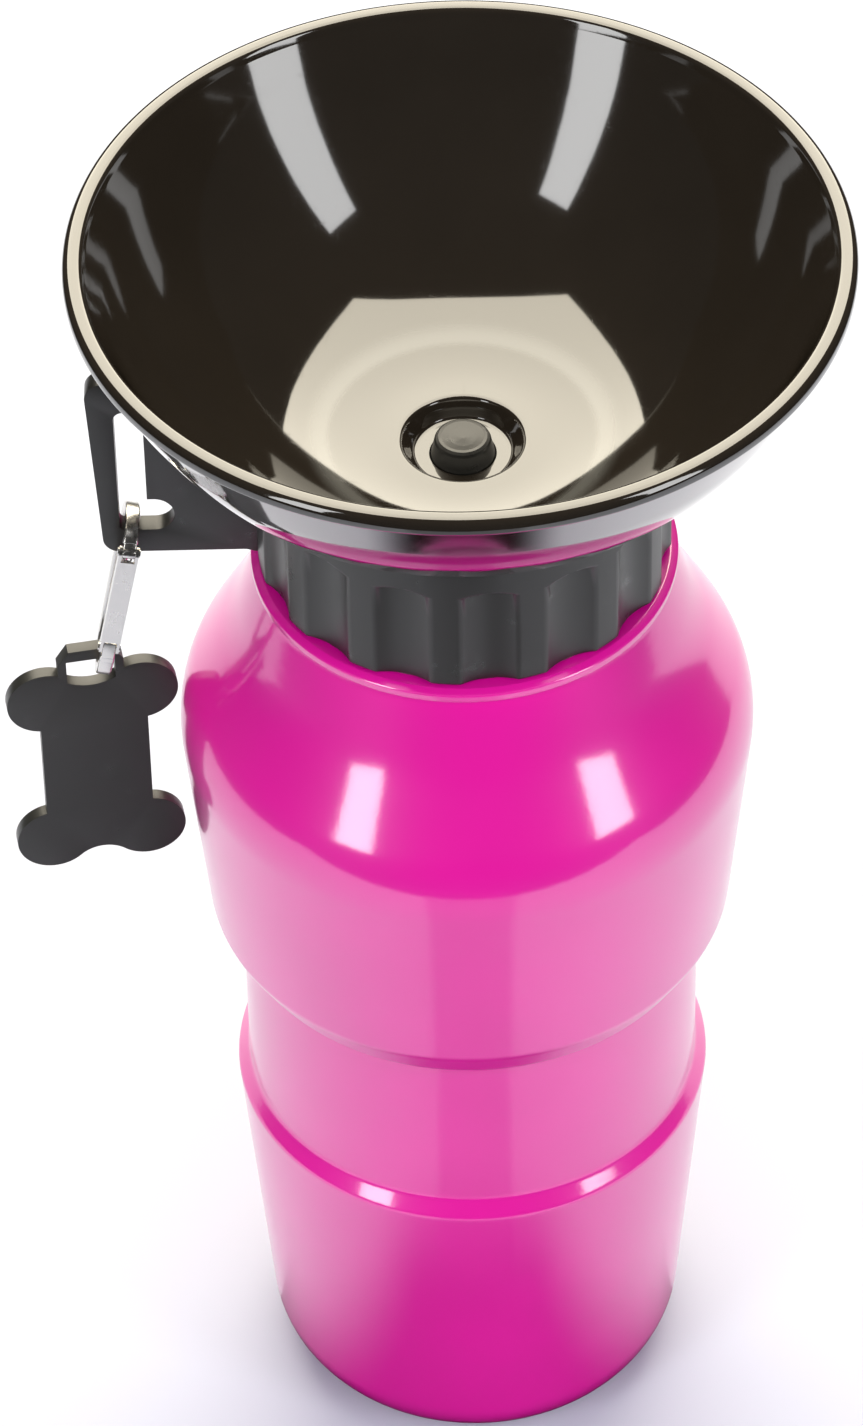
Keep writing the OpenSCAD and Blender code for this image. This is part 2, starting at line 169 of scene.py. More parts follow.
class Bench:
    """The modelling operators, used one after another as a modeller uses them by hand."""

    @staticmethod
    def begin(name: str, place: Vector) -> bpy.types.Object:
        """Starts a mesh as one vertex and leaves it in edit mode.

        Args:
            name: the new object's name.
            place: where the vertex stands, in metres.

        Returns:
            The new object.
        """
        bpy.ops.object.select_all(action="DESELECT")
        bpy.ops.mesh.primitive_plane_add(size=MM, location=place)
        piece = bpy.context.object
        piece.name = piece.data.name = name
        bpy.ops.object.transform_apply(location=True, rotation=True, scale=True)
        bpy.ops.object.mode_set(mode="EDIT")
        bpy.ops.mesh.select_mode(type="VERT")
        bpy.ops.mesh.select_all(action="SELECT")
        bpy.ops.mesh.merge(type="CENTER")
        return piece

    @staticmethod
    def draw_on(places: Iterable[Vector], start: Vector) -> None:
        """Extrudes the selected vertex from place to place, which leaves a line of edges."""
        last = start
        for place in places:
            bpy.ops.mesh.extrude_region_move(TRANSFORM_OT_translate={"value": place - last})
            last = place

    @staticmethod
    def merge(gap: float) -> None:
        """Merges all vertices closer than a gap in metres, and leaves the whole mesh selected."""
        bpy.ops.mesh.select_all(action="SELECT")
        bpy.ops.mesh.remove_doubles(threshold=gap)
        bpy.ops.mesh.select_all(action="SELECT")

    @classmethod
    def close(cls, gap: float) -> None:
        """Merges all doubles, turns every face outwards and leaves edit mode."""
        cls.merge(gap)
        bpy.ops.mesh.normals_make_consistent(inside=False)
        bpy.ops.object.mode_set(mode="OBJECT")

    @classmethod
    def lathe(cls, name: str, outline: list[Point], around: int, ring: bool) -> bpy.types.Object:
        """Turns an outline round the Z axis into a closed body.

        Args:
            name: the new object's name.
            outline: the points as (radius, height), in mm.
            around: the number of steps round the axis.
            ring: whether the outline closes on itself, and not on the axis.

        Returns:
            The new object, in object mode.
        """
        places = [Vector((r * MM, 0, z * MM)) for r, z in outline]
        if ring:
            places.append(places[0])
        piece = cls.begin(name, places[0])
        cls.draw_on(places[1:], places[0])
        cls.merge(LATHED_GAP)
        bpy.ops.mesh.spin(steps=around, angle=math.tau, center=(0, 0, 0), axis=(0, 0, 1))
        cls.close(LATHED_GAP)
        return piece

    @classmethod
    def plate(cls, name: str, loops: list[list[Vector]], thickness: Vector) -> bpy.types.Object:
        """Cuts a plate from a drawn outline and its holes.

        Args:
            name: the new object's name.
            loops: the outline and then its holes, each a closed loop of places in metres.
            thickness: the way and the length by which the outline is extruded.

        Returns:
            The new object, in object mode.
        """
        piece = cls.begin(name, loops[0][0])
        cls.draw_on(loops[0][1:] + loops[0][:1], loops[0][0])
        for loop in loops[1:]:
            bpy.ops.mesh.primitive_plane_add(size=MM, location=loop[0])
            bpy.ops.mesh.merge(type="CENTER")
            cls.draw_on(loop[1:] + loop[:1], loop[0])
        cls.merge(DRAWN_GAP)
        bpy.ops.mesh.fill(use_beauty=True)
        bpy.ops.mesh.select_all(action="SELECT")
        bpy.ops.mesh.extrude_region_move(TRANSFORM_OT_translate={"value": thickness})
        cls.close(DRAWN_GAP)
        return piece

    @classmethod
    def helix(cls, name: str, section: list[Point], start: float, end: float, low: float,
              lead: float, step: float = 5) -> bpy.types.Object:
        """Winds a closed section into a helical rib with closed ends.

        Args:
            name: the new object's name.
            section: its points as (radius, height), in mm.
            start: the angle where the rib starts, in degrees.
            end: the angle where it ends, in degrees.
            low: the height of the section's origin at angle 0, in mm.
            lead: the rise in a full turn, in mm.
            step: the angle between two sections, in degrees.

        Returns:
            The new object, in object mode.
        """
        first = math.radians(start)
        rise = low + lead * start / 360
        places = [Vector((r * math.cos(first), r * math.sin(first), z + rise)) * MM
                  for r, z in section]
        piece = cls.begin(name, places[0])
        cls.draw_on(places[1:] + places[:1], places[0])
        cls.merge(DRAWN_GAP)
        bpy.ops.object.mode_set(mode="OBJECT")
        wind = piece.modifiers.new("wind", "SCREW")
        wind.angle = math.radians(end - start)
        wind.screw_offset = lead * (end - start) / 360 * MM
        wind.steps = wind.render_steps = max(4, math.ceil((end - start) / step))
        wind.use_merge_vertices = False
        cls.apply(piece, wind)
        bpy.ops.object.mode_set(mode="EDIT")
        bpy.ops.mesh.select_all(action="SELECT")
        bpy.ops.mesh.fill_holes(sides=8)
        cls.close(DRAWN_GAP)
        return piece

    @staticmethod
    def use(piece: bpy.types.Object) -> None:
        """Makes one object the only selected and the active one."""
        bpy.ops.object.select_all(action="DESELECT")
        piece.select_set(True)
        bpy.context.view_layer.objects.active = piece

    @classmethod
    def apply(cls, piece: bpy.types.Object, modifier: bpy.types.Modifier) -> None:
        """Applies one modifier to its mesh."""
        cls.use(piece)
        bpy.ops.object.modifier_apply(modifier=modifier.name)

    @classmethod
    def soften(cls, piece: bpy.types.Object, width: float, segments: int = 3,
               angle: float = 35) -> None:
        """Rounds the sharp edges of a piece.

        Args:
            piece: the object to work on.
            width: how far the rounding reaches from each edge, in mm.
            segments: the number of faces across the rounding.
            angle: edges that turn more than this are rounded, in degrees.
        """
        bevel = piece.modifiers.new("soften", "BEVEL")
        bevel.width = width * MM
        bevel.segments = segments
        bevel.limit_method = "ANGLE"
        bevel.angle_limit = math.radians(angle)
        cls.apply(piece, bevel)

    @classmethod
    def cut(cls, piece: bpy.types.Object, cutter: bpy.types.Object) -> None:
        """Cuts one object out of another and throws the cutter away."""
        carve = piece.modifiers.new("carve", "BOOLEAN")
        carve.operation = "DIFFERENCE"
        carve.solver = "EXACT"
        carve.object = cutter
        cls.apply(piece, carve)
        bpy.data.objects.remove(cutter, do_unlink=True)

    @classmethod
    def join(cls, pieces: list[bpy.types.Object]) -> bpy.types.Object:
        """Joins pieces into the first of them and returns it."""
        cls.use(pieces[0])
        for piece in pieces[1:]:
            piece.select_set(True)
        bpy.ops.object.join()
        return pieces[0]

    @staticmethod
    def copy_turned(piece: bpy.types.Object, degrees: float) -> bpy.types.Object:
        """Copies a piece with its own mesh, turned round the Z axis."""
        twin = piece.copy()
        twin.data = piece.data.copy()
        twin.data.transform(Matrix.Rotation(math.radians(degrees), 4, "Z"))
        bpy.context.scene.collection.objects.link(twin)
        return twin

    @classmethod
    def shade(cls, piece: bpy.types.Object, facing: Facing) -> None:
        """Shades a piece smooth, apart from edges sharper than its kind allows."""
        cls.use(piece)
        bpy.ops.object.shade_smooth_by_angle(angle=facing.value)


# ---------------------------------------------------------------- finishes


class Wire:
    """A number or colour in a material's node tree, on which Python's operators work."""

    def __init__(self, graph: "Graph", socket: bpy.types.NodeSocket) -> None:
        """Wraps one output socket of a node in a graph."""
        self.graph = graph
        self.socket = socket

    def _maths(self, operation: str, first: "Wire | float", second: "Wire | float") -> "Wire":
        """Adds one Math node and returns what it gives."""
        return self.graph.node("ShaderNodeMath", {"operation": operation}, {0: first, 1: second})

    def __add__(self, other: "Wire | float") -> "Wire":
        """Adds a number."""
        return self._maths("ADD", self, other)

    __radd__ = __add__

    def __mul__(self, other: "Wire | float") -> "Wire":
        """Multiplies by a number."""
        return self._maths("MULTIPLY", self, other)

    __rmul__ = __mul__

    def __sub__(self, other: "Wire | float") -> "Wire":
        """Takes a number off."""
        return self._maths("SUBTRACT", self, other)

    def __rsub__(self, other: "Wire | float") -> "Wire":
        """Takes this off a number."""
        return self._maths("SUBTRACT", other, self)

    def __pow__(self, other: "Wire | float") -> "Wire":
        """Raises to a power."""
        return self._maths("POWER", self, other)


@dataclass
class Graph:
    """A material's node tree while it is being wired."""

    name: str
    material: bpy.types.Material = field(init=False)

    def __post_init__(self) -> None:
        """Makes the material and empties its node tree."""
        self.material = bpy.data.materials.new(self.name)
        self.material.use_nodes = True
        self.material.node_tree.nodes.clear()

    def node(self, kind: str, settings: dict | None = None, sockets: dict | None = None,
             output: int | str = 0) -> Wire:
        """Adds a node.

        Args:
            kind: the node's type.
            settings: its properties, or "stops" for a colour ramp.
            sockets: values or wires for its inputs, by name or number.
            output: the output that is wanted, by name or number.

        Returns:
            The wanted output.
        """
        node = self.material.node_tree.nodes.new(kind)
        for key, value in (settings or {}).items():
            if key == "stops":
                self._set_stops(node.color_ramp, value)
            else:
                setattr(node, key, value)
        for key, value in (sockets or {}).items():
            if isinstance(value, Wire):
                self.material.node_tree.links.new(value.socket, node.inputs[key])
            else:
                node.inputs[key].default_value = value
        return Wire(self, node.outputs[output]) if len(node.outputs) else None

    @staticmethod
    def _set_stops(ramp: bpy.types.ColorRamp, stops: list[tuple[float, float]]) -> None:
        """Sets a ramp's stops as pairs of place and grey level."""
        while len(ramp.elements) < len(stops):
            ramp.elements.new(1)
        for element, (place, level) in zip(ramp.elements, stops):
            element.position = place
            element.color = (level, level, level, 1)

    def place(self) -> Wire:
        """The point on the piece, in metres, in the object's own space."""
        return self.node("ShaderNodeTexCoord", output="Object")

    def radius(self) -> Wire:
        """The distance from the object's own Z axis, in metres."""
        flat = self.node("ShaderNodeVectorMath", {"operation": "MULTIPLY"},
                         {0: self.place(), 1: (1, 1, 0)})
        return self.node("ShaderNodeVectorMath", {"operation": "LENGTH"}, {0: flat}, output="Value")

    def part(self, axis: str) -> Wire:
        """The point's X, Y or Z alone, in metres."""
        return self.node("ShaderNodeSeparateXYZ", {}, {"Vector": self.place()}, output=axis)

    def grain(self, scale: float, detail: float = 3, rough: float = 0.5,
              stretch: tuple[float, float, float] = (1, 1, 1)) -> Wire:
        """Gives noise over the piece.

        Args:
            scale: how many grains there are in a metre.
            detail: how many finer layers are added.
            rough: how strong the finer layers are.
            stretch: how much closer the grains stand along each axis.

        Returns:
            The noise, about 0.5.
        """
        where = self.node("ShaderNodeMapping", {}, {"Vector": self.place(), "Scale": stretch})
        return self.node("ShaderNodeTexNoise", {"noise_dimensions": "3D"},
                         {"Vector": where, "Scale": scale, "Detail": detail, "Roughness": rough})

    def band(self, value: Wire, low: float, high: float) -> Wire:
        """Turns a value into a mask that rises from 0 to 1 between two levels."""
        return self.node("ShaderNodeMapRange", {"interpolation_type": "SMOOTHSTEP"},
                         {"Value": value, "From Min": low, "From Max": high,
                          "To Min": 0.0, "To Max": 1.0})

    def blend(self, mask: Wire, first: tuple | Wire, second: tuple | Wire) -> Wire:
        """Mixes two colours by a mask."""
        return self.node("ShaderNodeMix", {"data_type": "RGBA"}, {0: mask, 6: first, 7: second},
                         output=2)

    def tint(self, mask: Wire, colour: Colour, low: float, high: float) -> Wire:
        """Varies a colour between two brightnesses by a mask."""
        return self.blend(mask, rgba(colour, low), rgba(colour, high))

    def bump(self, height: Wire, depth: float, under: Wire | None = None) -> Wire:
        """Makes a bumped normal.

        Args:
            height: the height, about 0 to 1.
            depth: how deep the bumps are, in mm.
            under: the coarser bump that this one stands on.

        Returns:
            The normal.
        """
        sockets = {"Height": height, "Distance": depth * MM, "Strength": 1.0}
        if under is not None:
            sockets["Normal"] = under
        return self.node("ShaderNodeBump", {}, sockets)

    def close(self, sockets: dict) -> bpy.types.Material:
        """Adds the surface shader and the output.

        Args:
            sockets: the shader's values and wires.

        Returns:
            The finished material.
        """
        shader = self.node("ShaderNodeBsdfPrincipled", {}, sockets)
        self.node("ShaderNodeOutputMaterial", {}, {"Surface": shader})
        return self.material


def rgba(colour: Colour, gain: float = 1.0) -> tuple[float, float, float, float]:
    """Scales a colour and adds its alpha."""
    return (colour[0] * gain, colour[1] * gain, colour[2] * gain, 1.0)


@dataclass(frozen=True)
class SqueezeWall:
    """Glossy dyed plastic of the blown bottle, with a faint orange peel."""

    name: str = "bottle_plastic"
    colour: Colour = (0.70, 0.003, 0.31)
    gloss: float = 0.09

    def material(self) -> bpy.types.Material:
        """Wires the finish and returns its material."""
        graph = Graph(self.name)
        cloud = graph.grain(28, 2)
        tint = graph.tint(graph.band(cloud, 0.35, 0.65), self.colour, 0.96, 1.03)
        peel = graph.grain(1300, 1, 0.45)
        fine = graph.grain(3200, 2, 0.6)
        scuff = graph.band(graph.grain(900, 2, 0.6, (1, 1, 0.08)), 0.66, 0.8)
        rough = self.gloss + 0.05 * fine + 0.06 * scuff
        normal = graph.bump(fine, 0.0012, graph.bump(peel, 0.006))
        return graph.close({"Base Color": tint, "Roughness": rough, "Normal": normal, "IOR": 1.6,
                            "Specular IOR Level": 1.0, "Coat Weight": 1.0, "Coat Roughness": 0.4,
                            "Coat IOR": 1.42})


@dataclass(frozen=True)
class SatinMoulding:
    """Dark moulded plastic with a fine spark-eroded grain and rubbed patches."""

    name: str
    colour: Colour
    gloss: float = 0.42
    grain_depth: float = 0.006
    grain_scale: float = 2600
    rub: float = 0.12

    def material(self) -> bpy.types.Material:
        """Wires the finish and returns its material."""
        graph = Graph(self.name)
        cloud = graph.grain(60, 3, 0.6)
        worn = graph.band(graph.grain(210, 4, 0.65), 0.56, 0.74)
        tint = graph.tint(cloud, self.colour, 0.85, 1.15)
        tint = graph.blend(worn * 0.35, tint, rgba(self.colour, 1.6))
        pit = graph.grain(self.grain_scale, 2, 0.6)
        rough = self.gloss + 0.1 * cloud - self.rub * worn
        normal = graph.bump(pit, self.grain_depth, graph.bump(graph.grain(160, 1.5), 0.02))
        return graph.close({"Base Color": tint, "Roughness": rough, "Normal": normal, "IOR": 1.5,
                            "Specular IOR Level": 0.55})


@dataclass(frozen=True)
class PolishedBowl:
    """Near-black plastic polished by the mould, with hair scratches from use and a pale ring
    painted on its floor as a reflection.
    """

    name: str = "bowl_plastic"
    colour: Colour = (0.013, 0.0102, 0.0076)
    gloss: float = 0.05

    def material(self) -> bpy.types.Material:
        """Wires the finish and returns its material."""
        graph = Graph(self.name)
        cloud = graph.grain(45, 3, 0.6)
        hair = graph.band(graph.grain(1300, 2, 0.7, (1, 0.06, 1)), 0.63, 0.72)
        cross = graph.band(graph.grain(1100, 2, 0.7, (0.07, 1, 1)), 0.65, 0.74)
        tint = graph.tint(cloud, self.colour, 0.8, 1.2)
        # Painted reflection: a pale ring on the floor round the well, 18.6 to 23.6 mm out, standing
        # in for a soft highlight there.
        radius = graph.radius()
        ring = graph.band(radius, 0.0186, 0.0202) - graph.band(radius, 0.0204, 0.0236)
        tint = graph.blend(ring * 0.6, tint, rgba((0.11, 0.11, 0.105)))
        rough = self.gloss + 0.03 * cloud + 0.05 * hair + 0.05 * cross
        ripple = graph.bump(graph.grain(130, 1.5, 0.5), 0.02)
        normal = graph.bump(hair + cross, 0.0006, ripple)
        return graph.close({"Base Color": tint, "Roughness": rough, "Normal": normal, "IOR": 1.4,
                            "Specular IOR Level": 1.0, "Coat Weight": 1.0, "Coat Roughness": 0.04,
                            "Coat IOR": 1.4})


@dataclass(frozen=True)
class PlatedSteel:
    """Bright plated steel with drawing marks along its length."""

    name: str = "hook_metal"
    colour: Colour = (0.78, 0.76, 0.73)
    gloss: float = 0.16

    def material(self) -> bpy.types.Material:
        """Wires the finish and returns its material."""
        graph = Graph(self.name)
        cloud = graph.grain(260, 3, 0.6)
        drawn = graph.grain(2400, 2, 0.6, (1, 1, 0.06))
        tint = graph.tint(cloud, self.colour, 0.82, 1.08)
        rough = self.gloss + 0.14 * cloud + 0.05 * drawn
        normal = graph.bump(drawn, 0.0012)
        return graph.close({"Base Color": tint, "Metallic": 1.0, "Roughness": rough,
                            "Normal": normal})


@dataclass(frozen=True)
class SoftSeal:
    """Matte pale rubber of the seals."""

    name: str = "seal_rubber"
    colour: Colour = (0.7, 0.69, 0.65)

    def material(self) -> bpy.types.Material:
        """Wires the finish and returns its material."""
        graph = Graph(self.name)
        cloud = graph.grain(180, 3, 0.6)
        tint = graph.tint(cloud, self.colour, 0.88, 1.05)
        normal = graph.bump(graph.grain(3000, 2), 0.004)
        return graph.close({"Base Color": tint, "Roughness": 0.55 + 0.2 * cloud,
                            "Normal": normal})


@dataclass(frozen=True)
class MilkyTube:
    """Half-clear drawn plastic of the dip tube."""

    name: str = "tube_plastic"
    colour: Colour = (0.72, 0.73, 0.72)

    def material(self) -> bpy.types.Material:
        """Wires the finish and returns its material."""
        graph = Graph(self.name)
        cloud = graph.grain(90, 3, 0.6)
        lines = graph.grain(2200, 2, 0.6, (1, 1, 0.02))
        tint = graph.tint(cloud, self.colour, 0.9, 1.05)
        normal = graph.bump(lines, 0.002)
        return graph.close({"Base Color": tint, "Roughness": 0.3 + 0.12 * lines, "Normal": normal,
                            "Transmission Weight": 0.35})


# ---------------------------------------------------------------- pieces


def settle(piece: bpy.types.Object, body: str, slot: str, material: bpy.types.Material,
           *nodes: str) -> None:
    """Gives a finished piece its material, its body and the nodes that it stands for.

    Args:
        piece: the finished object.
        body: the moving body that carries it.
        slot: not used.
        material: the finish.
        nodes: the solids that it takes the place of.
    """
    piece.data.materials.clear()
    piece.data.materials.append(material)
    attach(piece, body)
    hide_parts(*nodes)
    log.info("%s: %d faces on %s", piece.name, len(piece.data.polygons), body)


@dataclass
class Bottle:
    """The blown squeeze bottle with its threaded neck. Sizes are in mm."""

    wall: float = 1.4
    base_r: float = 31.8
    ridge_r: float = 36.7
    ridge_z: float = 61.6
    waist_r: float = 34.9
    waist_low_z: float = 64.5
    waist_top_z: float = 94.6
    ledge_r: float = 36.7
    ledge_z: float = 95.6
    upper_r: float = 39.7
    upper_z: float = 101.1
    shoulder_r: float = 43.3
    shoulder_z: float = 140.2
    hollow_r: float = 34.4
    hollow_z: float = 156.4
    neck_foot_z: float = 165.6
    bead_r: float = 31.3
    bead_z: float = 168.2
    neck_r: float = 26.4
    neck_z: float = 169.9
    mouth_r: float = 24.2
    mouth_z: float = 183.0
    punt_r: float = 14.0
    punt_h: float = 3.2
    foot_ring_r: float = 17.6
    thread_z: float = 174.0
    thread_half: float = 0.95
    around: int = 224

    def corners(self) -> list[Corner]:
        """The wall's outline, up the outside and down the inside."""
        wall = self.wall
        return [
            (0, self.punt_h, 0), (self.punt_r, self.punt_h - 0.6, 6), (self.foot_ring_r, 0, 1.2),
            (self.base_r, 0, 12), (self.ridge_r, self.ridge_z, 1.3),
            (self.waist_r, self.waist_low_z, 2),
            (self.waist_r, self.waist_top_z, 1.2), (self.ledge_r, self.ledge_z, 2.6),
            (self.upper_r, self.upper_z, 4.1),
            (self.shoulder_r, self.shoulder_z, 20), (self.hollow_r, self.hollow_z, 40),
            (self.bead_r - 0.4, self.neck_foot_z + 0.8, 3),
            (self.bead_r - 0.9, self.bead_z - 0.4, 0.5),
            (self.bead_r, self.bead_z, 0.4), (self.bead_r, self.bead_z + 1.2, 0.4),
            (self.bead_r - 1.1, self.neck_z, 0.3), (self.neck_r, self.neck_z, 0.5),
            (self.neck_r, self.mouth_z, 0.5), (self.mouth_r, self.mouth_z, 0.5),
            (self.mouth_r, self.neck_z - 1.5, 1.5), (self.bead_r - 1.9, self.neck_foot_z + 0.4, 3),
            (self.hollow_r - 0.9 * wall, self.hollow_z - 0.6, 40),
            (self.shoulder_r - wall, self.shoulder_z - 0.3, 18.6),
            (self.upper_r - wall, self.upper_z + 0.5, 5.4),
            (self.ledge_r - 0.9, self.ledge_z + 1.2, 2),
            (self.waist_r - wall, self.waist_top_z + 1.2, 1.5),
            (self.waist_r - wall, self.waist_low_z, 3),
            (self.ridge_r - wall, self.ridge_z - 0.6, 1.6), (self.base_r - wall, wall, 10.6),
            (self.foot_ring_r + 0.6, wall, 1.2), (self.punt_r, self.punt_h + wall - 0.6, 6),
            (0, self.punt_h + wall, 0),
        ]

    def build(self, finish: bpy.types.Material) -> bpy.types.Object:
        """Models the bottle and its thread.

        Args:
            finish: the bottle's material.

        Returns:
            The finished piece.
        """
        outline = with_steps(rounded_outline(self.corners()), 3.0)
        piece = Bench.lathe("bottle_wall", outline, self.around, ring=False)
        foot, tip, half = self.neck_r - 0.4, self.neck_r + 1.1, self.thread_half
        section = [(foot, -half), (tip, 0.5 - half), (tip, half - 0.5), (foot, half)]
        thread = Bench.helix("bottle_thread", section, 0, THREAD_TURN, self.thread_z, THREAD_LEAD)
        piece = Bench.join([piece, thread])
        Bench.shade(piece, Facing.ROUND)
        settle(piece, "bottle", "bottle_plastic", finish, "bottle")
        return piece


@dataclass
class ScrewLid:
    """The screw lid with its fluted grip wall and hanging plate. Sizes are in mm."""

    grip_r: float = 30.2
    grip_n: int = 15
    flute_depth: float = 1.2
    cutter_r: float = 10.2
    flute_top_z: float = 187.4
    fade: float = 3.0
    low_z: float = 170.4
    top_z: float = 193.4
    bore_r: float = 28.3
    deck_z: float = 184.6
    deck_top_z: float = 186.8
    boss_bore_r: float = 14.3
    boss_r: float = 17.2
    web_z: float = 171.5
    web_top_z: float = 173.5
    post_hole_r: float = 5.2
    plate_t: float = 3.0
    plate_reach: float = 54.2
    plate_low_z: float = 171.1
    plate_top_z: float = 204.0
    slot_x: float = -48.0
    slot_w: float = 4.2
    slot_low_z: float = 175.4
    slot_top_z: float = 198.4
    lobe_r: float = 3.0
    lobe_end_x: float = -42.0
    plate_inner_x: float = -43.0
    edge_r: float = 0.35
    thread_z: float = 171.75
    thread_half: float = 0.85
    thread_tip_r: float = 26.8
    around: int = 360

    def corners(self) -> list[Corner]:
        """The outline of the wall, deck, boss and web, without flutes."""
        return [
            (self.grip_r, self.low_z, 0.5), (self.grip_r, self.top_z, 0.6),
            (self.bore_r + 0.2, self.top_z - 1.6, 0.4), (self.bore_r - 0.3, self.deck_top_z, 1),
            (self.boss_bore_r, self.deck_top_z, 0.5), (self.boss_bore_r, self.web_top_z, 0.5),
            (self.post_hole_r, self.web_top_z, 0), (self.post_hole_r, self.web_z, 0),
            (self.boss_r, self.web_z, 0.8), (self.boss_r, self.deck_z, 0.8),
            (self.bore_r, self.deck_z, 0.4),
            (self.bore_r, self.low_z + 0.7, 0), (self.bore_r + 0.5, self.low_z, 0),
        ]

    def grip_rows(self, outline: list[Point]) -> list[Point]:
        """Adds rows of points up the grip wall, closer where the flutes fade out.

        Args:
            outline: the wall's outline.

        Returns:
            The outline with the added rows.
        """
        result: list[Point] = []
        for place, after in zip(outline, outline[1:] + outline[:1]):
            result.append(place)
            if abs(place[0] - self.grip_r) < 1e-6 and abs(after[0] - self.grip_r) < 1e-6:
                rows = [place[1] + 0.4 + 4 * i for i in range(4)]
                rows += [self.flute_top_z + 0.15 * i for i in range(10)]
                rows += [self.top_z - 2.5, after[1] - 0.4]
                result += [(self.grip_r, row) for row in rows]
        return result

    def flute_share(self, place: Vector) -> float:
        """Says how far towards the axis a flute draws a point of the grip wall.

        Args:
            place: the point, in metres.

        Returns:
            The new radius as a share of the old one.
        """
        height = place.z / MM
        pitch = 360 / self.grip_n
        angle = (math.degrees(math.atan2(place.y, place.x)) - 180) % 360
        column = round(angle / pitch)
        off = math.radians(angle - column * pitch)
        cutter = self.cutter_r - max(0.0, height - self.flute_top_z)
        centre = self.grip_r - self.flute_depth + self.cutter_r
        inside = cutter**2 - (centre * math.sin(off)) ** 2
        if column % self.grip_n == 0 or inside <= 0 or height > self.flute_top_z + self.fade:
            return 1.0
        floor = centre * math.cos(off) - math.sqrt(inside)
        return round(min(1.0, floor / self.grip_r), 6)

    def cut_flutes(self, piece: bpy.types.Object) -> None:
        """Draws the grip wall in to form its flutes."""
        Bench.use(piece)
        bpy.ops.object.mode_set(mode="EDIT")
        bpy.ops.mesh.select_mode(type="VERT")
        least = (self.grip_r - 0.7) * MM
        mesh = bmesh.from_edit_mesh(piece.data)
        groups: dict[float, list[int]] = {}
        for vertex in mesh.verts:
            if math.hypot(vertex.co.x, vertex.co.y) > least:
                share = self.flute_share(vertex.co)
                if share < 0.99999:
                    groups.setdefault(share, []).append(vertex.index)
        for share, indices in groups.items():
            wanted = set(indices)
            mesh = bmesh.from_edit_mesh(piece.data)
            for vertex in mesh.verts:
                vertex.select_set(vertex.index in wanted)
            mesh.select_flush_mode()
            bmesh.update_edit_mesh(piece.data, loop_triangles=False, destructive=False)
            bpy.ops.transform.resize(value=(share, share, 1), center_override=(0, 0, 0))
        bpy.ops.object.mode_set(mode="OBJECT")

    def plate(self) -> bpy.types.Object:
        """Models the hanging plate with its slot."""
        reach, left = self.plate_reach, self.slot_x - self.slot_w / 2
        right = left + self.slot_w
        outer = rounded_outline([
            (-self.grip_r + 1.2, self.plate_low_z - 0.6, 0),
            (-self.grip_r - 0.4, self.plate_low_z - 0.4, 0),
            (-self.grip_r - 1.6, self.plate_low_z, 1.5), (-reach + 1.7, self.plate_low_z, 2.5),
            (-reach, self.plate_top_z, 3), (self.plate_inner_x, self.plate_top_z, 1.5),
            (-self.grip_r - 0.6, self.top_z - 1, 0.6), (-self.grip_r + 1.2, self.top_z - 1, 0),
        ])
        lobe_x, lobe_z = self.lobe_end_x - self.lobe_r, self.slot_low_z + self.lobe_r
        slot = rounded_outline([(right, lobe_z + self.lobe_r, 0), (right, self.slot_top_z, 1.4),
                                (left, self.slot_top_z, 1.4), (left, self.slot_low_z, 0.8),
                                (lobe_x - 0.5, self.slot_low_z, 0)])
        slot += arc_points((lobe_x, lobe_z), self.lobe_r, -90, 90, ARC_STEP)
        front = self.plate_t / 2 * MM
        loops = [[Vector((x * MM, -front, z * MM)) for x, z in loop] for loop in (outer, slot)]
        piece = Bench.plate("lid_plate", loops, Vector((0, 2 * front, 0)))
        Bench.soften(piece, self.edge_r)
        return piece

    def build(self, finish: bpy.types.Material) -> bpy.types.Object:
        """Models the lid.

        Args:
            finish: the lid's material.

        Returns:
            The finished piece.
        """
        outline = self.grip_rows(rounded_outline(self.corners()))
        piece = Bench.lathe("screw_lid", outline, self.around, ring=True)
        self.cut_flutes(piece)
        foot, tip, half = self.bore_r + 0.5, self.thread_tip_r, self.thread_half
        section = [(foot, -half), (foot, half), (tip, half - 0.4), (tip, 0.4 - half)]
        thread = Bench.helix("lid_thread", section, 0, THREAD_TURN, self.thread_z, THREAD_LEAD)
        piece = Bench.join([piece, self.plate(), thread])
        Bench.shade(piece, Facing.PLATE)
        settle(piece, "lid", "lid_plastic", finish, "lid_collar")
        return piece


